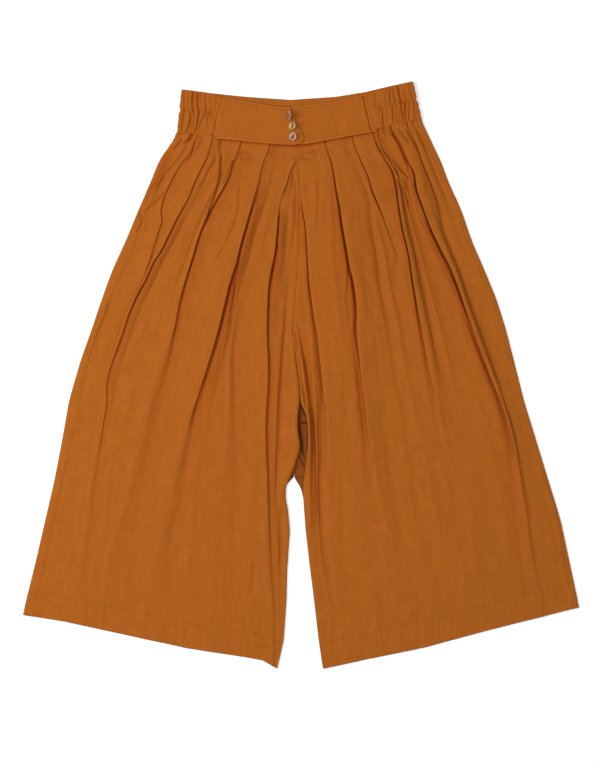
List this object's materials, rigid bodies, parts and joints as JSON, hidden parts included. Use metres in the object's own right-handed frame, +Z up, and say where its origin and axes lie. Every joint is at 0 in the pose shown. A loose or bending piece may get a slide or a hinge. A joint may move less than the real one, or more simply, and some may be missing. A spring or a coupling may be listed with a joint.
{
  "type": "culottes",
  "caption": "Wide-legged pleated culottes laid flat on their back, with an elasticated waist, a flat front band and a buttoned tab.",
  "frame": {"origin": "on the surface that the culottes lie on, under the middle of their box", "axes": "+X to the wearer's left, +Y along the legs towards the waist, +Z up out of the surface; the front of the garment faces +Z"},
  "size_m": [0.725, 0.764, 0.0206],
  "materials": {
    "cloth": "soft slubbed plain weave in rust, matt with a faint sheen",
    "cloth_inside": "inner face of the same slubbed cloth",
    "waistband": "the same slubbed cloth, doubled and stitched",
    "pearl": "pearly grey-pink button, polished"
  },
  "bodies": {
    "root": {"leg_front_right": "cloth", "leg_front_left": "cloth", "leg_back_right": "cloth_inside", "leg_back_left": "cloth_inside", "waistband_elastic": "waistband", "waistband_front_right": "waistband", "waistband_front_left": "waistband", "button_top": "pearl", "button_middle": "pearl", "button_bottom": "pearl"}
  },
  "joints": []
}
